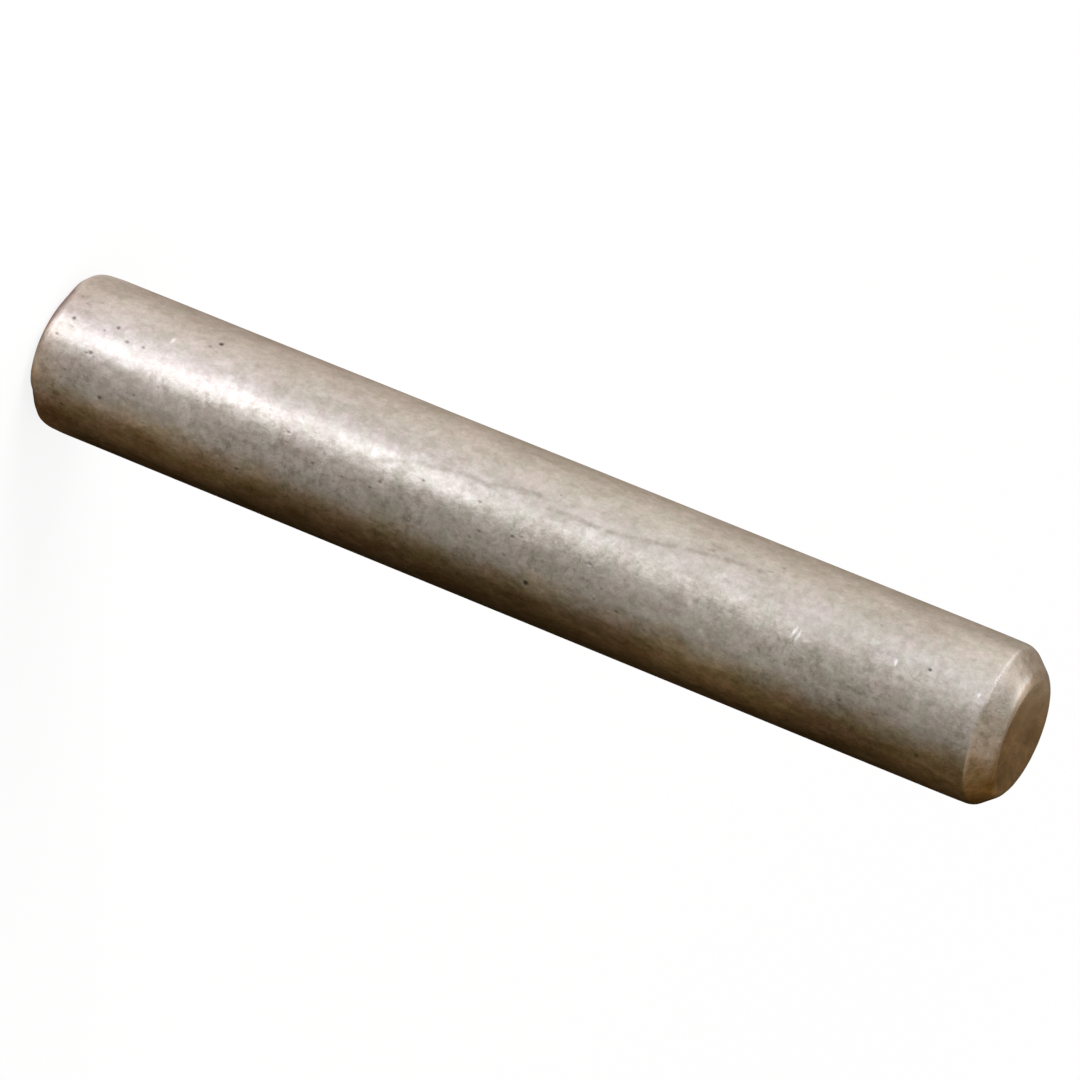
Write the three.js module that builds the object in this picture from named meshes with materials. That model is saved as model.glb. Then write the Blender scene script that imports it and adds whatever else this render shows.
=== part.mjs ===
// Valve handle pin: a plain steel dowel that crosses a valve's stem and locks its handle on.
// One turned piece, ground on the shank, with a long bevel on the end that goes in first and
// a short one on the other.
//
// Millimetres, +Z up along the pin's axis. The origin is the centre of the tail face, which
// the pin stands on, and the lead end is on top.

import * as THREE from 'three';

// Shank: a quarter-inch pin, one and five eighths of an inch long.
const SHANK_DIAMETER = 6.35;
const OVERALL_LENGTH = 41.3;

// Each bevel's length is measured along the axis, and its angle from the axis.
const LEAD_BEVEL_LENGTH = 0.9;
const LEAD_BEVEL_ANGLE = 42;
const TAIL_BEVEL_LENGTH = 0.6;
const TAIL_BEVEL_ANGLE = 45;

// Corners that use has rounded: the shoulder is where a bevel meets the shank, and the rim is
// where it meets the end face.
const LEAD_SHOULDER_RADIUS = 0.25;
const LEAD_RIM_RADIUS = 0.4;
const TAIL_SHOULDER_RADIUS = 0.4;
const TAIL_RIM_RADIUS = 0.35;

// Fineness of the faceted surface.
const SIDES = 96;
const STEPS_PER_CORNER = 6;

// The tangent length that a corner of the given radius takes up when the outline turns there.
const tangentLength = (radius, turn) => radius * Math.tan(turn / 2);

// The two round corners of a bevelled end, as centres at a distance from the axis and a
// height above the end face, with the angle of the bevel's outward normal above the radius.
function bevelledEnd(bevelLength, bevelDegrees, shoulderRadius, rimRadius) {
  const shankRadius = SHANK_DIAMETER / 2;
  const bevelAngle = THREE.MathUtils.degToRad(bevelDegrees);
  const rimCorner = shankRadius - bevelLength * Math.tan(bevelAngle);
  return {
    bevelAngle,
    rim: {
      radius: rimRadius,
      x: rimCorner - tangentLength(rimRadius, Math.PI / 2 - bevelAngle),
      height: rimRadius,
    },
    shoulder: {
      radius: shoulderRadius,
      x: shankRadius - shoulderRadius,
      height: bevelLength + tangentLength(shoulderRadius, bevelAngle),
    },
  };
}

// Half of the pin's outline, from the centre of the tail face out, up the shank and back to
// the centre of the lead face. Each arc after the first draws the straight line up to it.
function pinOutline() {
  const tail = bevelledEnd(
    TAIL_BEVEL_LENGTH, TAIL_BEVEL_ANGLE, TAIL_SHOULDER_RADIUS, TAIL_RIM_RADIUS);
  const lead = bevelledEnd(
    LEAD_BEVEL_LENGTH, LEAD_BEVEL_ANGLE, LEAD_SHOULDER_RADIUS, LEAD_RIM_RADIUS);
  const fromTail = (corner, start, end) =>
    outline.absarc(corner.x, corner.height, corner.radius, start, end);
  const fromLead = (corner, start, end) =>
    outline.absarc(corner.x, OVERALL_LENGTH - corner.height, corner.radius, start, end);

  const outline = new THREE.Path();
  outline.moveTo(0, 0);
  outline.lineTo(tail.rim.x, 0);
  fromTail(tail.rim, -Math.PI / 2, -tail.bevelAngle);
  fromTail(tail.shoulder, -tail.bevelAngle, 0);
  fromLead(lead.shoulder, 0, lead.bevelAngle);
  fromLead(lead.rim, lead.bevelAngle, Math.PI / 2);
  outline.lineTo(0, OVERALL_LENGTH);
  return outline;
}

// Worn, ground carbon steel with a thin warm tarnish.
const wornSteel = new THREE.MeshStandardMaterial({
  color: new THREE.Color().setRGB(0.60, 0.56, 0.51, THREE.SRGBColorSpace),
  metalness: 1.0,
  roughness: 0.42,
});

function handlePin() {
  // A path gives each arc two steps for every division asked for.
  const divisions = Math.ceil(STEPS_PER_CORNER / 2);
  const points = pinOutline().getPoints(divisions);
  const body = new THREE.LatheGeometry(points, SIDES);
  body.rotateX(Math.PI / 2);
  const pin = new THREE.Mesh(body, wornSteel);
  pin.name = 'handle_pin';
  return pin;
}

const part = new THREE.Group();
part.add(handlePin());

export default part;
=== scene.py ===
"""Looks for the valve handle pin: a worn steel dowel standing on its tail end, seen from the
lead end's side with the camera rolled over, so that it lies across the picture."""

import math

import bmesh
import bpy
import numpy as np
from mathutils import Matrix, Vector, kdtree, noise


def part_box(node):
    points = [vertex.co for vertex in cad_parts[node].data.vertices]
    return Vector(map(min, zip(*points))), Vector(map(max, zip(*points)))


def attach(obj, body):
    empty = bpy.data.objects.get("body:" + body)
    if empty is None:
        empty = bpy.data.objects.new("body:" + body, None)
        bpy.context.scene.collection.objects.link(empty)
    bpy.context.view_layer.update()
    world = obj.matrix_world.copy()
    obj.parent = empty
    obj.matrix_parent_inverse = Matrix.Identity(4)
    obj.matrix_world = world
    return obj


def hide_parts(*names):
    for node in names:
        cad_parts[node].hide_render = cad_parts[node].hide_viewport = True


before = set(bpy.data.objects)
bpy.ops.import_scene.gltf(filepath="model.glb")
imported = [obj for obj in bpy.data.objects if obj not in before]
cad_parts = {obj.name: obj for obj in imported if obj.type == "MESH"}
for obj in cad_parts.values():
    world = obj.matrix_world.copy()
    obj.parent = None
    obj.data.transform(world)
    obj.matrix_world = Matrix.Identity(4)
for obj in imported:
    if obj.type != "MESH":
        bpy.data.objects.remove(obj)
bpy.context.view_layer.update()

MM = 0.001
NODE = "handle_pin"
LOW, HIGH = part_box(NODE)
RADIUS = (HIGH.x - LOW.x) / 2
LENGTH = HIGH.z - LOW.z

# ---------------------------------------------------------------- the pin's shape

# The two ends: the bevel's angle from the axis, and at clock angles round the pin, as worn, the
# bevel's length along the axis and the radii of the rim and the shoulder, all three in mm.
# LEAD_BEVEL is the lead bevel's length before any wear.
LEAD_BEVEL = 0.9 * MM
LEAD_END = dict(angle=math.radians(42), corners=(
    (-180, 0.85, 0.25, 0.25), (-160, 0.84, 0.35, 0.25), (-138, 0.865, 0.55, 0.45),
    (-115, 0.89, 0.70, 0.80), (-90, 0.88, 0.65, 0.80), (-65, 0.90, 0.60, 0.25),
    (-42, 0.90, 0.75, 0.25), (-20, 0.90, 0.58, 0.25), (0, 0.90, 0.48, 0.25),
    (30, 0.90, 0.45, 0.25), (60, 0.90, 0.40, 0.25), (75, 0.88, 0.45, 0.35),
    (95, 0.83, 0.58, 0.60), (115, 0.85, 0.66, 0.60), (140, 0.855, 0.50, 0.40),
    (160, 0.855, 0.33, 0.25), (180, 0.85, 0.25, 0.25),
))
TAIL_END = dict(angle=math.radians(45), corners=(
    (-180, 0.60, 0.35, 0.40), (-105, 0.55, 0.38, 0.80), (-80, 0.46, 0.40, 0.80),
    (-65, 0.52, 0.45, 0.70), (-48, 0.70, 0.45, 0.40), (-38, 0.70, 0.52, 0.40),
    (-22, 0.67, 0.38, 0.40), (-5, 0.60, 0.35, 0.40), (10, 0.55, 0.32, 0.40),
    (32, 0.53, 0.28, 0.40), (42, 0.57, 0.28, 0.40), (54, 0.69, 0.36, 0.40),
    (64, 0.65, 0.40, 0.50), (76, 0.53, 0.42, 0.75), (95, 0.56, 0.38, 0.80),
    (180, 0.60, 0.35, 0.40),
))

# Fineness of the mesh. A face's grid of quads has an eighth of the columns from its middle
# to its edge, so that the edge has as many corners as the shank.
COLUMNS = 240
SHANK_ROWS = 160
BEVEL_ROWS = 8
CORNER_ROWS = 6


def corner_at(corners, clock):
    """The bevel's length and the rim's and the shoulder's radius at a clock angle."""
    clocks = [corner[0] for corner in corners]
    return [MM * np.interp(clock, clocks, [corner[k] for corner in corners]) for k in (1, 2, 3)]


def end_outline(angle, corners, clock):
    """Half of an end's outline, from its flat face to the shank, as (distance from the axis,
    height above the face)."""
    bevel, rim, shoulder = corner_at(corners, clock)
    quarter = math.pi / 2
    rim_x = RADIUS - bevel * math.tan(angle) - rim * math.tan((quarter - angle) / 2)
    shoulder_z = bevel + shoulder * math.tan(angle / 2)

    def arc(x, z, radius, start, end):
        turns = np.linspace(start, end, CORNER_ROWS + 1)
        return [(x + radius * math.cos(t), z + radius * math.sin(t)) for t in turns]

    rim_arc = arc(rim_x, rim, rim, -quarter, -angle)
    shoulder_arc = arc(RADIUS - shoulder, shoulder_z, shoulder, -angle, 0)
    cone = np.linspace(rim_arc[-1], shoulder_arc[0], BEVEL_ROWS + 1)[1:-1]
    return rim_arc + [tuple(p) for p in cone] + shoulder_arc


def pin_outline(turn):
    """The outline from tail face to lead face in the half plane at an angle from +X."""
    clock = (math.degrees(turn) + 270) % 360 - 180
    tail = end_outline(clock=clock, **TAIL_END)
    lead = [(x, LENGTH - z) for x, z in reversed(end_outline(clock=clock, **LEAD_END))]
    shank = np.linspace(tail[-1], lead[0], SHANK_ROWS + 1)[1:-1]
    return tail + [tuple(p) for p in shank] + lead


def disc_points(radii, z):
    """A flat disc, with its radius at each of the turns, as a square grid of points pushed out
    to rings, row by row."""
    half = COLUMNS // 8
    rows = []
    for i in range(-half, half + 1):
        for j in range(-half, half + 1):
            ring = max(abs(i), abs(j))
            if ring == 0:
                turn = 0.0
            elif abs(i) >= abs(j):
                turn = math.pi / 4 * j / i + (math.pi if i < 0 else 0)
            else:
                turn = math.pi / 2 - math.pi / 4 * i / j + (math.pi if j < 0 else 0)
            r = radii[round(turn / (2 * math.pi) * COLUMNS) % COLUMNS] * ring / half
            rows.append((r * math.cos(turn), r * math.sin(turn), z))
    return rows, 2 * half + 1


def add_grid(bm, points, across, closed, flip):
    """Adds a grid of quads, across points to a row. closed joins each row's ends."""
    verts = [bm.verts.new(p) for p in points]
    last = across if closed else across - 1
    for row in range(len(points) // across - 1):
        for k in range(last):
            a, b = row * across + k, row * across + (k + 1) % across
            quad = [verts[a], verts[b], verts[b + across], verts[a + across]]
            bm.faces.new(reversed(quad) if flip else quad)


def smooth_pin(bm):
    """The pin's closed skin, before any wear."""
    turns = [2 * math.pi * k / COLUMNS for k in range(COLUMNS)]
    rows = list(zip(*(pin_outline(t) for t in turns)))
    side = [(x * math.cos(t), x * math.sin(t), z)
            for row in rows for (x, z), t in zip(row, turns)]
    add_grid(bm, side, COLUMNS, closed=True, flip=False)
    for row, flip in ((rows[0], False), (rows[-1], True)):
        points, across = disc_points([x for x, _ in row], row[0][1])
        add_grid(bm, points, across, closed=False, flip=flip)
    bmesh.ops.remove_doubles(bm, verts=bm.verts, dist=1e-4 * MM)


# ---------------------------------------------------------------- wear

# A mark's place is a clock angle in degrees, from the camera's side (-Y) toward +X, and a
# height in millimetres above the tail face.

# Corrosion pits: clock, height, width in mm, darkness.
PITS = (
    (-46, 6.9, 0.26, 1.0), (-40, 6.6, 0.18, 0.5), (-26, 3.0, 0.22, 0.8), (-20.5, 1.2, 0.21, 0.8),
    (-19, 3.6, 0.22, 0.6), (-19.5, 4.3, 0.19, 0.5), (-5, 0.85, 0.18, 0.4), (-1.5, 2.45, 0.21, 0.7),
    (14.5, 4.7, 0.19, 0.5), (16, 1.65, 0.18, 0.5), (25.5, 3.35, 0.22, 0.8), (25, 2.2, 0.17, 0.3),
    (31, 1.3, 0.17, 0.4), (43, 1.8, 0.19, 0.6), (43, 2.75, 0.17, 0.6), (37, 9.5, 0.22, 0.7),
    (-2, 11.15, 0.17, 0.4), (11.5, 12.5, 0.19, 0.6), (12.5, 13.8, 0.15, 0.5), (6, 15.3, 0.20, 0.6),
    (12, 15.0, 0.17, 0.6), (-7, 19.3, 0.16, 0.4), (11.5, 19.7, 0.16, 0.6), (18, 19.4, 0.18, 0.4),
    (6.5, 21.0, 0.20, 0.6), (20.5, 20.9, 0.17, 0.5), (34, 22.0, 0.28, 1.0), (4, 24.25, 0.17, 0.4),
    (25.5, 24.8, 0.16, 0.5), (28, 25.8, 0.19, 0.5), (-39, 28.3, 0.19, 0.4), (-48.5, 31.0, 0.18, 0.4),
    (15, 35.3, 0.16, 0.5), (26.5, 35.1, 0.16, 0.5), (26.5, 36.5, 0.14, 0.4),
    (-16.5, 37.95, 0.18, 0.9), (44.5, 38.45, 0.22, 0.8),
)
PIT_DEPTH_PER_WIDTH = 0.11
# Small pits strewn at random, denser toward the tail end.
STREWN_PITS = 110

# Bright nicks: clock, height, length round the pin in mm, lean in mm along the pin.
NICKS = (
    (-32.5, 5.2, 0.34, -0.02), (-5.5, 32.6, 0.60, -0.06), (-4.0, 32.8, 0.72, -0.07),
    (-12.5, 36.65, 0.36, 0.02), (-13, 40.05, 0.22, 0.0),
    (110, 12.0, 0.6, 0.12), (171, 29.0, 0.5, -0.08), (-112, 20.0, 0.7, 0.15), (-120, 20.3, 0.4, 0.1),
)
NICK_WIDTH = 0.14 * MM
NICK_DEPTH = 0.012 * MM

# Dull smears: clock, height, width round the pin and length along it in mm, strength.
SMEARS = (
    (14.5, 9.05, 0.34, 0.36, 0.8), (-19.5, 19.4, 0.18, 0.55, 0.8), (-32.5, 14.3, 0.16, 0.34, 0.5),
    (-32, 11.4, 0.18, 0.22, 0.3), (-30, 11.95, 0.18, 0.22, 0.3), (-32, 12.65, 0.18, 0.22, 0.3),
    (-43.5, 28.3, 0.13, 0.6, 0.6), (12, 25.6, 0.15, 0.4, 0.6), (7.5, 34.75, 0.18, 0.3, 0.9),
    (-56, 35.95, 0.15, 0.28, 0.5), (-34, 36.45, 0.12, 0.2, 0.5), (-19, 40.85, 1.1, 0.7, 0.4),
    (9.5, 40.85, 0.5, 0.6, 0.2), (33, 40.85, 0.6, 0.7, 0.22), (13, 12.35, 0.35, 0.5, 0.4),
    (13, 13.8, 0.25, 0.4, 0.35), (12.5, 15.0, 0.35, 0.5, 0.4), (-2, 14.4, 0.3, 0.7, 0.35),
    (9, 11.5, 0.35, 0.6, 0.35), (6, 20.7, 0.2, 0.4, 0.35), (-2, 11.1, 0.25, 0.9, 0.35),
    (-3, 13.1, 0.25, 0.6, 0.35), (15, 10.05, 0.3, 0.6, 0.3), (11, 19.7, 0.2, 0.4, 0.35),
)
# Stains on the lead face: x, y, width along x and along y in mm, strength.
FACE_STAINS = (
    (0.05, 0.45, 0.9, 2.4, 0.40), (-0.2, -1.7, 1.2, 1.2, 0.2), (1.35, 0.2, 0.3, 0.8, 0.15),
    (0.7, 0.9, 0.25, 0.9, 0.3), (0.5, -0.8, 0.8, 1.1, 0.38), (-1.4, 0.8, 0.4, 0.9, 0.15),
    (1.5, 0.5, 0.4, 0.9, 0.3), (-1.8, -0.4, 0.6, 1.2, 0.2),
)
# Water marks that wander along the pin: clock and height of their corners.
WATER_MARKS = (
    ((-5, 14.6), (-11.5, 15.5), (-16, 16.3), (-17.5, 17.1), (-21.5, 18.2), (-20.5, 19.3),
     (-27, 20.6), (-28, 21.4)),
    ((-21.5, 21.8), (-21.5, 23.6), (-22, 24.5), (-28, 26.5), (-32, 27.4), (-37, 29.4),
     (-37.5, 30.5)),
)
WATER_MARK_WIDTH = 0.16 * MM
WATER_MARK_STRENGTH = 0.55

# How bright the lead end's shoulder and rim are: partly rubbed steel, partly painted glints
# where the edges catch the light. Clock and share.
SHOULDER_WEAR_AND_GLINT = (
    (-180, 0.3), (-120, 0.5), (-90, 0.1), (-64, 0.05), (-53, 0.1), (-49, 0.7), (-44, 1.0),
    (-40, 0.45), (-36, 0.55), (-32, 1.0), (-27, 0.9), (-22, 0.2), (-10, 0.0), (12, 0.0),
    (20, 0.15), (30, 0.35), (42, 0.45), (48, 0.35), (54, 0.05), (80, 0.0), (110, 0.4),
    (150, 0.5), (180, 0.3),
)
RIM_WEAR_AND_GLINT = (
    (-180, 0.2), (-100, 0.4), (-70, 0.6), (-50, 0.8), (-38, 0.9), (-28, 0.6), (-18, 0.2),
    (0, 0.0), (14, 0.05), (30, 0.15), (48, 0.05), (60, 0.0), (120, 0.5), (180, 0.2),
)

# Slow waves left by grinding, and the roll of the worn shoulder at the lead end.
WAVE_DEPTH = 0.009 * MM
WAVE_SIZE = 4.5 * MM
SHOULDER_ROLL = 0.018 * MM
SHOULDER_ROLL_LENGTH = 1.6 * MM
# Inside this share of the radius a point counts as on a flat face, which has none of the sides'
# marks and only FACE_WAVES of the waves. They grow to full depth over the next FACE_BLEND.
FACE_SHARE = 0.66
FACE_BLEND = 0.12
FACE_WAVES = 0.15
# The tail end's corner is worn down this much, round this height, over this length.
TAIL_WEAR = 0.04 * MM
TAIL_WEAR_HEIGHT = 0.45 * MM
TAIL_WEAR_LENGTH = 1.0 * MM
# It starts at this share of the radius, so that the tail face stays flat.
TAIL_WEAR_FROM = 0.68
# The lead bevel was cut a little off centre, toward +X and +Y.
LEAD_BEVEL_SHIFT = np.array([0.04, 0.07, 0]) * MM


def mark_place(clock, height):
    """The point on the smooth shank at a mark's clock angle and height."""
    turn = math.radians(clock)
    return Vector((RADIUS * math.sin(turn), -RADIUS * math.cos(turn), height * MM))


def strewn_pits():
    """Small pits anywhere on the shank, from one fixed seed."""
    rng = np.random.default_rng(11)
    made = []
    for _ in range(STREWN_PITS):
        height = 0.8 + 39.0 * rng.random() ** 1.6
        clock, width, dark = rng.uniform(-180, 180), rng.uniform(0.08, 0.15), rng.uniform(0.2, 0.6)
        made.append((clock, height, width, dark))
    return made


def refine_near(bm, spots):
    """Splits the faces near each (place, reach) into sixteenths."""
    bm.faces.ensure_lookup_table()
    tree = kdtree.KDTree(len(bm.faces))
    for face in bm.faces:
        tree.insert(face.calc_center_median(), face.index)
    tree.balance()
    edges = set()
    for place, reach in spots:
        for _, index, _ in tree.find_range(place, reach + 0.10 * MM):
            edges.update(bm.faces[index].edges)
    bmesh.ops.subdivide_edges(bm, edges=list(edges), cuts=3, use_grid_fill=True)


def surface_offsets(points, clock, height):
    """Each point's way round the pin and along it from a mark's place."""
    turn = np.arctan2(points[:, 0], -points[:, 1]) - math.radians(clock)
    turn = (turn + math.pi) % (2 * math.pi) - math.pi
    return RADIUS * turn, points[:, 2] - height * MM


def soft_bump(distance):
    """1 in the middle of a mark and 0 from distance 1 on, with a smooth edge."""
    return np.clip(1 - distance ** 2, 0, 1) ** 2


def way_to_path(points, corners):
    """Each point's distance over the surface from a path of (clock, height) corners."""
    nearest = np.full(len(points), 1.0)
    for (clock, height), (next_clock, next_height) in zip(corners, corners[1:]):
        round_, along = surface_offsets(points, clock, height)
        step = np.array([RADIUS * math.radians(next_clock - clock), (next_height - height) * MM])
        share = np.clip((round_ * step[0] + along * step[1]) / step.dot(step), 0, 1)
        gap = np.hypot(round_ - share * step[0], along - share * step[1])
        nearest = np.minimum(nearest, gap)
    return nearest


def slow_noise(points, size, shift):
    """Smooth noise from -1 to 1 with features of one size, at each point."""
    return np.array([noise.noise(Vector(p) / size + Vector(shift)) for p in points])


def hollow(value):
    """Keeps what is above 0 and flattens the rest, with a soft bend between."""
    return 0.5 * (value + np.sqrt(value ** 2 + 0.03))


def edge_wear_and_glint(points, clocks):
    """The listed wear and painted glint at each point's clock angle, broken up a little."""
    turn = np.degrees(np.arctan2(points[:, 0], -points[:, 1]))
    listed = np.interp(turn, [clock for clock, _ in clocks], [wear for _, wear in clocks])
    return listed * np.clip(0.85 + 0.7 * slow_noise(points, 0.6 * MM, (2, 6, 5)), 0, 1)


def worn(points):
    """How far each point sinks, how pitted and stained it is, and how light it is from rubbed steel
    and painted glints.
    """
    sink = WAVE_DEPTH * hollow(slow_noise(points, WAVE_SIZE, (3, 1, 4)))
    sink += 0.35 * WAVE_DEPTH * hollow(slow_noise(points, WAVE_SIZE / 3, (1, 5, 9)))
    from_axis = np.hypot(points[:, 0], points[:, 1])
    off_face = np.clip((from_axis / RADIUS - FACE_SHARE) / FACE_BLEND, 0, 1)
    sink *= FACE_WAVES + (1 - FACE_WAVES) * off_face
    shoulder = LENGTH - LEAD_BEVEL
    before = np.clip(1 - (shoulder - points[:, 2]) / SHOULDER_ROLL_LENGTH, 0, 1)
    beyond = np.clip((LENGTH - points[:, 2]) / LEAD_BEVEL, 0, 1)
    sink += SHOULDER_ROLL * before ** 2 * beyond
    off_face = np.clip((from_axis / RADIUS - TAIL_WEAR_FROM) / FACE_BLEND, 0, 1)
    sink += TAIL_WEAR * soft_bump((points[:, 2] - TAIL_WEAR_HEIGHT) / TAIL_WEAR_LENGTH) * off_face
    on_face = from_axis < FACE_SHARE * RADIUS
    pit, bare_and_glint, stain = np.zeros((3, len(points)))
    shank = ~on_face
    lead_face = on_face & (points[:, 2] > LENGTH / 2)
    for clock, height, width, dark in PITS + tuple(strewn_pits()):
        round_, along = surface_offsets(points, clock, height)
        mark = soft_bump(np.hypot(round_, along) / (0.5 * width * MM)) * shank
        sink += PIT_DEPTH_PER_WIDTH * width * MM * mark
        pit = np.maximum(pit, dark * np.sqrt(mark))
    for clock, height, length, lean in NICKS:
        round_, along = surface_offsets(points, clock, height)
        along = along - lean * MM * round_ / (0.5 * length * MM)
        away = np.hypot(round_ / (0.5 * length * MM), along / (0.5 * NICK_WIDTH))
        mark = soft_bump(away) * shank
        sink += NICK_DEPTH * mark
        bare_and_glint = np.maximum(bare_and_glint, np.sqrt(mark))
    for clock, height, width, length, strength in SMEARS:
        round_, along = surface_offsets(points, clock, height)
        away = np.hypot(round_ / (0.6 * width * MM), along / (0.6 * length * MM))
        mark = soft_bump(away) * shank
        stain = np.maximum(stain, strength * mark)
    for x, y, width, length, strength in FACE_STAINS:
        off_x, off_y = points[:, 0] / MM - x, points[:, 1] / MM - y
        away = np.hypot(off_x / (0.7 * width), off_y / (0.7 * length))
        stain = np.maximum(stain, strength * soft_bump(away) * lead_face)
    for corners in WATER_MARKS:
        mark = soft_bump(way_to_path(points, corners) / WATER_MARK_WIDTH) * shank
        stain = np.maximum(stain, WATER_MARK_STRENGTH * mark)
    clock = np.degrees(np.arctan2(points[:, 0], -points[:, 1]))
    bevel, rim, _ = corner_at(LEAD_END["corners"], clock)
    # The lead end's shoulder and rim: rubbed steel, and painted glints where they catch the light.
    edge = np.exp(-((points[:, 2] - LENGTH + bevel - 0.02 * MM) / (0.05 * MM)) ** 2)
    bare_and_glint = np.maximum(bare_and_glint, edge * edge_wear_and_glint(points, SHOULDER_WEAR_AND_GLINT))
    edge = np.exp(-(((LENGTH - points[:, 2]) / rim - 0.22) / 0.17) ** 2)
    bare_and_glint = np.maximum(bare_and_glint, edge * edge_wear_and_glint(points, RIM_WEAR_AND_GLINT))
    return sink, {"pit": pit, "bare_and_glint": bare_and_glint, "stain": stain}


def pin_mesh():
    """The worn pin as one mesh, with its marks as attributes for the material."""
    bm = bmesh.new()
    smooth_pin(bm)
    spots = [(mark_place(clock, height), 0.5 * width * MM)
             for clock, height, width, _ in PITS + tuple(strewn_pits())]
    spots += [(mark_place(clock, height), 0.5 * length * MM) for clock, height, length, _ in NICKS]
    refine_near(bm, spots)
    mesh = bpy.data.meshes.new("worn_pin")
    bm.to_mesh(mesh)
    bm.free()
    count = len(mesh.vertices)
    points, normals = np.empty(3 * count), np.empty(3 * count)
    mesh.vertices.foreach_get("co", points)
    mesh.vertices.foreach_get("normal", normals)
    points, normals = points.reshape(-1, 3), normals.reshape(-1, 3)
    sink, marks = worn(points)
    points = points - normals * sink[:, None]
    beyond_shoulder = np.clip((points[:, 2] - LENGTH) / LEAD_BEVEL + 1, 0, 1)
    points += LEAD_BEVEL_SHIFT * beyond_shoulder[:, None]
    mesh.vertices.foreach_set("co", points.ravel())
    for name, values in marks.items():
        mesh.attributes.new(name, "FLOAT", "POINT").data.foreach_set("value", values)
    mesh.polygons.foreach_set("use_smooth", [True] * len(mesh.polygons))
    mesh.update()
    return mesh


# ---------------------------------------------------------------- materials

# How much of a mottling each of red, green and blue takes.
LIGHTER_IS_COOLER = (0.93, 1.0, 1.13)
FILM_THINS = (0.90, 1.0, 1.55)


class Nodes:
    """Short calls for building one material's or world's nodes."""

    def __init__(self, tree):
        self.tree = tree
        tree.nodes.clear()

    def new(self, kind, inputs=None, **settings):
        made = self.tree.nodes.new("ShaderNode" + kind)
        for name, value in settings.items():
            setattr(made, name, value)
        for name, value in (inputs or {}).items():
            self.put(made.inputs[name], value)
        return made

    def put(self, socket, value):
        if isinstance(value, bpy.types.NodeSocket):
            self.tree.links.new(value, socket)
        else:
            socket.default_value = value

    def math(self, operation, a, b=0.0, c=0.0):
        return self.new("Math", {0: a, 1: b, 2: c}, operation=operation).outputs[0]

    def attribute(self, name):
        return self.new("Attribute", attribute_name=name).outputs["Fac"]

    def ramp(self, value, low, high, to_low=0.0, to_high=1.0):
        inputs = {"Value": value, "From Min": low, "From Max": high,
                  "To Min": to_low, "To Max": to_high}
        return self.new("MapRange", inputs, interpolation_type="SMOOTHSTEP").outputs[0]

    def mix(self, factor, a, b, blend="MIX"):
        made = self.new("Mix", data_type="RGBA", blend_type=blend)
        for name, value in (("Factor_Float", factor), ("A_Color", a), ("B_Color", b)):
            self.put(next(s for s in made.inputs if s.identifier == name), value)
        return next(s for s in made.outputs if s.identifier == "Result_Color")

    def noise(self, vector, scale, detail=3.0, roughness=0.5, distortion=0.0):
        inputs = {"Vector": vector, "Scale": scale, "Detail": detail, "Roughness": roughness,
                  "Distortion": distortion}
        return self.new("TexNoise", inputs).outputs[0]

    def cells(self, vector, scale):
        """A random value from 0 to 1 for each ragged little cell."""
        shift = self.math("MULTIPLY", self.noise(vector, 1.5 * scale, 2, 0.6), 0.5 / scale)
        moved = self.new("VectorMath", {0: vector, 1: shift}, operation="ADD")
        made = self.new("TexVoronoi", {"Vector": moved.outputs[0], "Scale": scale})
        return self.new("SeparateColor", {"Color": made.outputs["Color"]}).outputs[0]

    def mottled(self, tone, noise, gain, balance=LIGHTER_IS_COOLER):
        """The tone made lighter and darker by gain times a noise that averages one half."""
        change = self.math("MULTIPLY", self.math("SUBTRACT", noise, 0.5), gain)
        factor = self.new("VectorMath", {0: change, 1: balance, 2: (1, 1, 1)},
                          operation="MULTIPLY_ADD").outputs[0]
        return self.mix(1.0, tone, factor, "MULTIPLY")


def material(name):
    """A new material and the calls that build its nodes."""
    made = bpy.data.materials.new(name)
    made.use_nodes = True
    return made, Nodes(made.node_tree)


PINK_STEEL = (0.587, 0.512, 0.460, 1)
GREEN_STEEL = (0.543, 0.504, 0.430, 1)
# Browns for the +X side and the lead face: partly an oxide skin, partly painted shade and
# reflection.
RED_FILM_AND_SHADE = (0.88, 0.70, 0.53, 1)
OLIVE_FILM_AND_SHADE = (0.80, 0.735, 0.50, 1)
FACE_FILM_AND_SHADE = (0.81, 0.64, 0.35, 1)
STAIN = (0.26, 0.22, 0.17, 1)
PIT_DIRT = (0.06, 0.045, 0.03, 1)
# Light steel for nicks and rubbed edges, and for the painted glints on the lead end's shoulder and
# rim.
BARE_STEEL_AND_GLINT = (0.93, 0.90, 0.85, 1)
MOTTLE = 1.15
FINE_MOTTLE = 1.3
BUMP_DEPTH = 0.045 * MM


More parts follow.
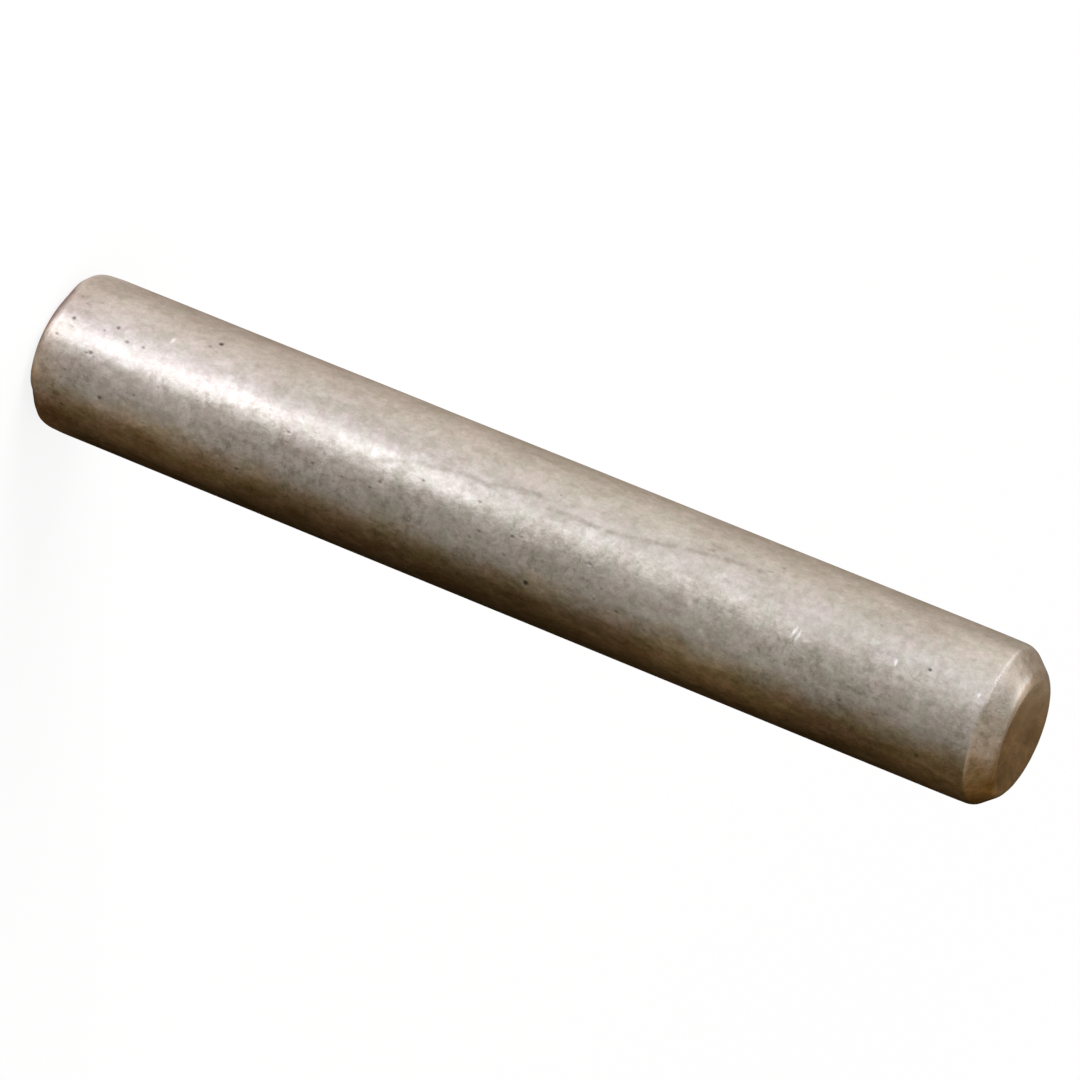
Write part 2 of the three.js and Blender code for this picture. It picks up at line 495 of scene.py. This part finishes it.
def worn_steel():
    """Ground steel gone dull: mottled, and brown on one side and on the lead face, partly as an
    oxide skin and partly as painted shade and painted reflection. Its rubbed lead edges carry
    painted glints.
    """
    steel, n = material("worn_steel")
    x, y, z = n.new("SeparateXYZ", {0: n.new("TexCoord").outputs["Object"]}).outputs
    flat = n.ramp(z, LENGTH - 0.040 * MM, LENGTH - 0.012 * MM)
    drawn_out = n.math("MULTIPLY", y, n.math("MULTIPLY_ADD", flat, -0.6, 1.0))
    place = n.new("CombineXYZ", {"X": x, "Y": drawn_out, "Z": z}).outputs[0]
    streaky = n.new("Mapping", {"Vector": place, "Scale": (1, 1, 0.5)}).outputs[0]

    pinker = n.math("ADD", n.cells(place, 2100), n.ramp(z, 4 * MM, 26 * MM, 0.25, -0.15))
    tone = n.mix(pinker, GREEN_STEEL, PINK_STEEL)
    tone = n.mottled(tone, n.cells(place, 3600), 0.11)
    grimy = n.ramp(x, -0.55 * RADIUS, 0.10 * RADIUS, 0.25, 1.0)
    tone = n.mottled(tone, n.noise(streaky, 480, 7, 0.86), MOTTLE)
    gain = n.math("MULTIPLY_ADD", grimy, 0.55 * FINE_MOTTLE, 0.42 * FINE_MOTTLE)
    tone = n.mottled(tone, n.noise(place, 2200, 5, 0.80, 0.6), gain)

    zone = n.math("MULTIPLY", n.ramp(n.noise(place, 600, 2, 0.5), 0.36, 0.60), grimy)
    speck = n.math("MULTIPLY", n.ramp(n.noise(place, 4200, 3, 0.6), 0.51, 0.64), zone)
    blotch = n.math("MULTIPLY", n.ramp(n.noise(streaky, 1700, 4, 0.7), 0.46, 0.66), grimy)
    dashed = n.new("Mapping", {"Vector": place, "Scale": (1, 1, 0.3)}).outputs[0]
    dash = n.math("MULTIPLY", n.ramp(n.noise(dashed, 2600, 2, 0.5), 0.62, 0.70), grimy)
    grime = n.math("MULTIPLY_ADD", blotch, 0.28, n.math("MULTIPLY", speck, 0.40))
    grime = n.math("MULTIPLY_ADD", dash, 0.22, grime)
    tone = n.mix(grime, tone, STAIN)
    stain = n.attribute("stain")
    patchy = n.ramp(n.noise(place, 3000, 3, 0.6), 0.30, 0.60, 0.35, 1.0)
    tone = n.mix(n.math("MULTIPLY", stain, patchy), tone, STAIN)

    # The brown on the +X side, away from the key lamp: partly an oxide skin, partly painted shade
    # and painted reflection that darken and brown that side.
    ragged = n.math("MULTIPLY_ADD", n.noise(streaky, 800, 5, 0.65), 0.7, -0.35)
    across = n.math("MULTIPLY_ADD", x, 1 / RADIUS, ragged)
    face = n.ramp(z, LENGTH - 0.010 * MM, LENGTH - 0.003 * MM)
    brown = n.math("MULTIPLY", n.ramp(across, 0.34, 0.72), n.math("SUBTRACT", 1.0, face))
    side_film_and_shade = n.mix(n.ramp(n.noise(streaky, 1100, 5, 0.8), 0.40, 0.60), OLIVE_FILM_AND_SHADE, RED_FILM_AND_SHADE)
    tone = n.mix(brown, tone, side_film_and_shade, "MULTIPLY")
    mottle = n.math("MULTIPLY", brown, 1.8)
    tone = n.mottled(tone, n.noise(streaky, 1300, 6, 0.80), mottle, FILM_THINS)
    # The lead face's brown, lighter toward its -X edge: partly an oxide skin, partly painted shade
    # and painted reflection.
    face_film_and_shade = n.math("ADD", across, n.math("MULTIPLY", ragged, 0.5))
    face_film_and_shade = n.math("MULTIPLY", n.ramp(face_film_and_shade, -0.85, -0.35, 0.45, 1.0), face)
    tone = n.mix(face_film_and_shade, tone, FACE_FILM_AND_SHADE, "MULTIPLY")
    mottle = n.math("MULTIPLY", face, 2.1)
    tone = n.mottled(tone, n.noise(place, 700, 7, 0.72), mottle, FILM_THINS)

    # Rubbed steel in nicks and on edges, and painted glints on the lead end's shoulder and rim.
    bare_and_glint = n.attribute("bare_and_glint")
    tone = n.mix(bare_and_glint, tone, BARE_STEEL_AND_GLINT)
    pit = n.attribute("pit")
    tone = n.mix(pit, tone, PIT_DIRT)

    rough = n.math("MULTIPLY_ADD", n.noise(place, 900, 4, 0.6), 0.24, 0.22)
    rough = n.math("MULTIPLY_ADD", pit, 0.3, rough)
    rough = n.math("MULTIPLY_ADD", bare_and_glint, -0.10, rough)
    texture = n.noise(place, 1300, 6, 0.55)
    rougher = n.ramp(z, 9 * MM, 17 * MM, 0.5, 1.0)
    bump = n.new("Bump", {"Height": texture, "Strength": rougher, "Distance": BUMP_DEPTH})
    shader = n.new("BsdfPrincipled", {
        "Base Color": tone, "Metallic": 1.0, "Roughness": rough, "Normal": bump.outputs[0]})
    n.new("OutputMaterial", {"Surface": shader.outputs[0]})
    return steel


# ---------------------------------------------------------------- floor, shell of painted reflections, and lamp

WHITE = (1.0, 1.0, 1.0, 1.0)
# The share of the floor's own glow near the pin. It rises to 1 at FLOOR_FADE from the pin.
FLOOR_OWN_LIGHT = 0.85
FLOOR_FADE = 250 * MM
FLOOR_REACH = 1.5
KEY_PLACE = (-260 * MM, -160 * MM, 300 * MM)
KEY_SIZE = 200 * MM
KEY_WATTS = 1.0
WORLD_TONE = (0.80, 0.79, 0.78, 1)

# A glowing shell round the pin that is no lamp and that only the pin's gloss shows. Its tones are
# painted reflections: the pale side, the dark side and the highlights that the steel mirrors. Its
# radius, its height, and its tone at clock angles (degrees) that run from the camera toward +X.
TENT_RADIUS = 8 * MM
TENT_HEIGHT = 75 * MM
TENT_COLUMNS = 180
TENT_ROWS = 76
PAINTED_REFLECTION_TONES = (
    (-180, (0.11, 0.075, 0.045)),
    (-165, (0.10, 0.078, 0.055)),
    (-150, (0.26, 0.215, 0.17)),
    (-130, (0.465, 0.395, 0.33)),
    (-110, (0.64, 0.575, 0.515)),
    (-90, (0.90, 0.85, 0.80)),
    (-60, (1.04, 1.02, 1.02)),
    (-30, (1.09, 1.11, 1.21)),
    (-14, (1.05, 1.07, 1.13)),
    (0, (0.66, 0.66, 0.66)),
    (14, (0.48, 0.46, 0.45)),
    (35, (0.40, 0.39, 0.37)),
    (52, (0.28, 0.26, 0.23)),
    (68, (0.13, 0.104, 0.067)),
    (90, (0.077, 0.053, 0.029)),
    (120, (0.020, 0.013, 0.006)),
    (160, (0.010, 0.006, 0.002)),
    (180, (0.11, 0.075, 0.045)),
)
# The painted reflection tones above the pin, which only its lead end mirrors.
UPPER_PAINTED_REFLECTION_TONES = (
    (-180, (0.22, 0.16, 0.105)),
    (-165, (0.35, 0.28, 0.21)),
    (-150, (0.27, 0.20, 0.145)),
    (-128, (0.22, 0.13, 0.065)),
    (-108, (0.52, 0.46, 0.40)),
    (-90, (0.74, 0.70, 0.67)),
    (-70, (0.34, 0.32, 0.30)),
    (-45, (0.02, 0.018, 0.012)),
    (-20, (0.10, 0.09, 0.065)),
    (0, (0.54, 0.495, 0.425)),
    (20, (0.45, 0.37, 0.31)),
    (45, (0.54, 0.45, 0.38)),
    (70, (0.50, 0.39, 0.30)),
    (85, (0.20, 0.15, 0.09)),
    (104, (0.215, 0.13, 0.05)),
    (125, (0.20, 0.105, 0.02)),
    (160, (0.235, 0.165, 0.10)),
    (180, (0.22, 0.16, 0.105)),
)
# Painted highlights and painted shade on the glowing shell: the bright streak along the tail end,
# the glints on the lead end's shoulder and rim, and darker patches. Each: clock and its spread,
# heights in mm from and to, and gain (one for all colours, or one each for red, green and blue).
PAINTED_HIGHLIGHT_AND_SHADE_PATCHES = (
    (-15, 10, -4, 1, (1.5, 1.7, 1.95)),
    (-16, 12, 1, 8, (1.3, 1.35, 1.45)),
    (-18, 12, 8, 13.5, (0.95, 1.0, 1.05)),
    (-15, 14, 13.5, 19, (0.75, 0.8, 0.85)),
    (-18, 12, 19, 31, 0.3),
    (-34, 14, 39.5, 42, 0.15),
    (-80, 20, 40.5, 42.5, 0.7),
    (-62, 16, 1, 6, 0.15),
    (-75, 30, 13, 22, 0.06),
    (-54, 14, 32, 39, -0.08),
    (8, 22, 1.5, 7, 0.2),
    (30, 20, -4, 1, -0.15),
    (48, 14, 1.5, 7.5, 0.5),
    (58, 10, -4, 1.5, 0.3),
    (45, 35, 8, 12.5, -0.14),
    (23, 14, 25.5, 38, 0.12),
    (47, 14, 25, 38, -0.12),
    (73, 16, 19.5, 25, -0.3),
    (84, 20, 1.5, 7.5, 0.8),
    (92, 38, 25, 31, 1.1),
    (-107, 20, 48.5, 54, (0.75, 0.65, 0.70)),
    (-112, 25, 36.5, 40, -0.2),
    (116, 40, 36.3, 41.2, 1.8),
    (-135, 25, 50, 58, (1.3, 1.9, 2.4)),
    (-115, 18, 53, 66, 1.1),
    (-90, 14, 42, 46.5, 0.4),
    (120, 35, 51, 62, (0.9, 1.3, 2.4)),
    (-145, 20, 47.5, 53, (1.7, 1.9, 2.4)),
)
PATCH_EDGE = 1.2
# Heights in mm at which the upper tones and then the lid's tone take over, and over what height.
UPPER_FROM, UPPER_BLEND = 41.5, 2.0
LID_FROM, LID_BLEND = 66, 6.0
# The lid's tone is a painted reflection too.
PAINTED_LID_REFLECTION = np.array((0.58, 0.52, 0.45))
# The glowing floor of the shell round the pin's tail, which the tail's bevel and the shank's low end
# mirror: painted reflections, with the painted highlight streak and, close in, a painted dark line
# along the tail's edge. Its tone at clock angles, the same close in, and how far it has changed from
# the second to the first at distances in radii of the pin.
PAINTED_GROUND_REFLECTION_TONES = (
    (-180, (0.60, 0.55, 0.50)),
    (-90, (0.78, 0.70, 0.66)),
    (-63, (0.92, 0.85, 0.78)),
    (-43, (1.05, 0.93, 0.95)),
    (-29, (1.30, 1.27, 1.33)),
    (-17, (2.35, 2.35, 2.55)),
    (-7, (1.95, 1.90, 1.95)),
    (0, (0.95, 0.85, 0.84)),
    (8, (0.60, 0.52, 0.47)),
    (24, (0.48, 0.41, 0.33)),
    (33, (0.42, 0.34, 0.25)),
    (43, (0.28, 0.24, 0.20)),
    (55, (0.15, 0.105, 0.07)),
    (73, (0.08, 0.046, 0.021)),
    (180, (0.10, 0.06, 0.03)),
)
CLOSE_PAINTED_GROUND_REFLECTION_TONES = (
    (-180, (0.24, 0.17, 0.13)),
    (-63, (0.36, 0.27, 0.21)),
    (-43, (0.42, 0.30, 0.27)),
    (-29, (0.38, 0.30, 0.27)),
    (-17, (0.45, 0.29, 0.25)),
    (-7, (0.40, 0.28, 0.19)),
    (0, (0.32, 0.24, 0.20)),
    (8, (0.38, 0.31, 0.22)),
    (24, (0.36, 0.30, 0.19)),
    (33, (0.30, 0.23, 0.15)),
    (43, (0.20, 0.15, 0.10)),
    (55, (0.09, 0.06, 0.035)),
    (73, (0.04, 0.02, 0.01)),
    (180, (0.05, 0.03, 0.01)),
)
GROUND_RINGS = ((0.4, 0.0), (0.825, 0.0), (0.885, 1.0), (1.0, 1.0))


def shows_background(n):
    """1 for what the camera sees, itself or in a mirror or through glass, and 0 for the rest."""
    path = n.new("LightPath").outputs
    seen = n.math("MAXIMUM", path["Is Camera Ray"], path["Is Glossy Ray"])
    return n.math("MAXIMUM", seen, path["Is Transmission Ray"])


def floor_material():
    """White, and mostly by its own light where it is seen, so that a soft shadow stays."""
    made, n = material("pale_floor")
    paper = n.new("BsdfDiffuse", {"Color": (0.93, 0.93, 0.93, 1)})
    glow = n.new("Emission", {"Color": WHITE, "Strength": 1.0})
    place = n.new("TexCoord").outputs["Object"]
    away = n.new("VectorMath", {0: place}, operation="LENGTH").outputs["Value"]
    share = n.ramp(away, LENGTH, FLOOR_FADE, FLOOR_OWN_LIGHT, 1.0)
    share = n.math("MULTIPLY", shows_background(n), share)
    surface = n.new("MixShader", {0: share, 1: paper.outputs[0], 2: glow.outputs[0]})
    n.new("OutputMaterial", {"Surface": surface.outputs[0]})
    return made


def painted_reflection_material():
    """Glows, though it is no lamp, in the painted reflection tone that each of the shell's
    points carries.
    """
    made, n = material("painted_reflection_tent")
    tone = n.new("Attribute", attribute_name="tone")
    glow = n.new("Emission", {"Color": tone.outputs["Color"], "Strength": 1.0})
    n.new("OutputMaterial", {"Surface": glow.outputs[0]})
    return made


def tone_round(tones, turn):
    """The colour at a clock angle in degrees, between the listed ones."""
    angles = [angle for angle, _ in tones]
    return np.array([np.interp(turn, angles, [tone[k] for _, tone in tones]) for k in range(3)])


def painted_reflection_tone(turn, height):
    """The shell's painted reflection colour, with its painted highlights and shade, at a clock angle
    in degrees and a height in mm.
    """
    upper = min(max((height - UPPER_FROM) / UPPER_BLEND, 0), 1)
    tone = (1 - upper) * tone_round(PAINTED_REFLECTION_TONES, turn) + upper * tone_round(UPPER_PAINTED_REFLECTION_TONES, turn)
    lid = min(max((height - LID_FROM) / LID_BLEND, 0), 1)
    tone = (1 - lid) * tone + lid * PAINTED_LID_REFLECTION
    gains = np.ones(3)
    for clock, spread, low, high, gain in PAINTED_HIGHLIGHT_AND_SHADE_PATCHES:
        across = math.exp(-(((turn - clock + 180) % 360 - 180) / spread) ** 2)
        above = 1 / (1 + math.exp((low - height) / PATCH_EDGE))
        below = 1 / (1 + math.exp((height - high) / PATCH_EDGE))
        gains += np.array(gain) * across * above * below
    return gains * tone


def painted_ground_reflection_tone(turn, share):
    """The shell floor's painted reflection colour at a clock angle: share 0 is close to the pin,
    1 farther out.
    """
    close = tone_round(CLOSE_PAINTED_GROUND_REFLECTION_TONES, turn)
    return (1 - share) * close + share * tone_round(PAINTED_GROUND_REFLECTION_TONES, turn)


def stage_piece(name, mesh, surface):
    """Puts a mesh in the scene as a stage piece, with its material."""
    mesh.materials.append(surface)
    made = bpy.data.objects.new(name, mesh)
    bpy.context.scene.collection.objects.link(made)
    return made


def add_floor():
    """A wide flat sheet for the pin to stand on."""
    far = FLOOR_REACH
    corners = [(-far, -far, 0), (far, -far, 0), (far, far, 0), (-far, far, 0)]
    mesh = bpy.data.meshes.new("floor")
    mesh.from_pydata(corners, [], [(0, 1, 2, 3)])
    stage_piece("floor", mesh, floor_material())


def add_painted_reflection_shell():
    """A glowing tube on the floor round the pin, with a floor and a lid, that only the pin's
    gloss shows: no lamp, but painted reflections, highlights and shade for the steel to mirror."""
    turns = np.linspace(-180, 180, TENT_COLUMNS, endpoint=False)
    rings = [(TENT_RADIUS, height) for height in np.linspace(0, TENT_HEIGHT / MM, TENT_ROWS)]
    rings += [(0.05 * RADIUS, TENT_HEIGHT / MM)]
    points, tones = [], []

    def add_ring(reach, height, tone_at):
        for turn in turns:
            a = math.radians(turn)
            points.append((reach * math.sin(a), -reach * math.cos(a), (height + 0.02) * MM))
            tones.append((*tone_at(turn), 1.0))

    for reach, share in GROUND_RINGS:
        add_ring(reach * RADIUS, 0, lambda turn: painted_ground_reflection_tone(turn, share))
    for reach, height in rings:
        add_ring(reach, height, lambda turn: painted_reflection_tone(turn, height))
    bm = bmesh.new()
    add_grid(bm, points, TENT_COLUMNS, closed=True, flip=True)
    mesh = bpy.data.meshes.new("painted_reflection_shell")
    bm.to_mesh(mesh)
    bm.free()
    tone = mesh.attributes.new("tone", "FLOAT_COLOR", "POINT")
    tone.data.foreach_set("color", np.array(tones, dtype=np.float32).ravel())
    painted_reflection_shell = stage_piece("painted_reflection_shell", mesh, painted_reflection_material())
    for seen_by in ("camera", "diffuse", "shadow", "transmission", "volume_scatter"):
        setattr(painted_reflection_shell, "visible_" + seen_by, False)


def area_lamp(name, place, target, size, watts):
    """A square lamp that faces its target and that the camera doesn't see."""
    data = bpy.data.lights.new(name, "AREA")
    data.shape = "SQUARE"
    data.size = size
    data.energy = watts
    made = bpy.data.objects.new(name, data)
    made.location = place
    made.rotation_euler = (Vector(target) - Vector(place)).to_track_quat("-Z", "Y").to_euler()
    made.visible_camera = False
    bpy.context.scene.collection.objects.link(made)


def build_stage():
    add_floor()
    add_painted_reflection_shell()
    middle = (0, 0, LENGTH / 2)
    area_lamp("key", KEY_PLACE, middle, KEY_SIZE, KEY_WATTS)

    world = bpy.data.worlds.new("studio")
    bpy.context.scene.world = world
    world.use_nodes = True
    n = Nodes(world.node_tree)
    colour = n.mix(shows_background(n), WORLD_TONE, WHITE)
    n.new("OutputWorld", {"Surface": n.new("Background", {"Color": colour}).outputs[0]})


# ---------------------------------------------------------------- camera

LENS = 266.4
VIEW_DISTANCE = 94.9 * RADIUS
VIEW_TILT = math.radians(19.2)
VIEW_ROLL = math.radians(22.1)
# Where the pin's middle lies in the picture, right of and above its centre.
MIDDLE_RIGHT = -0.26 * MM
MIDDLE_UP = 0.18 * MM


def build_camera():
    """Looks down on the standing pin, rolled so that its axis runs across the picture."""
    backward = Vector((0, -math.cos(VIEW_TILT), math.sin(VIEW_TILT)))
    upright = Vector((0, math.sin(VIEW_TILT), math.cos(VIEW_TILT)))
    sideways = Vector((1, 0, 0))
    right = math.cos(VIEW_ROLL) * upright - math.sin(VIEW_ROLL) * sideways
    up = backward.cross(right)
    data = bpy.data.cameras.new("camera")
    data.lens = LENS
    data.clip_start, data.clip_end = 0.01, 10
    camera = bpy.data.objects.new("camera", data)
    middle = Vector((0, 0, LENGTH / 2))
    place = middle + backward * VIEW_DISTANCE - right * MIDDLE_RIGHT - up * MIDDLE_UP
    turn = Matrix((right, up, backward)).transposed().to_4x4()
    camera.matrix_world = Matrix.Translation(place) @ turn
    bpy.context.scene.collection.objects.link(camera)
    bpy.context.scene.camera = camera


# ---------------------------------------------------------------- the scene

pin = bpy.data.objects.new("worn_pin", pin_mesh())
bpy.context.scene.collection.objects.link(pin)
pin.data.materials.append(worn_steel())
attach(pin, "root")
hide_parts(NODE)

build_stage()
build_camera()
bpy.context.scene.view_settings.view_transform = "Standard"
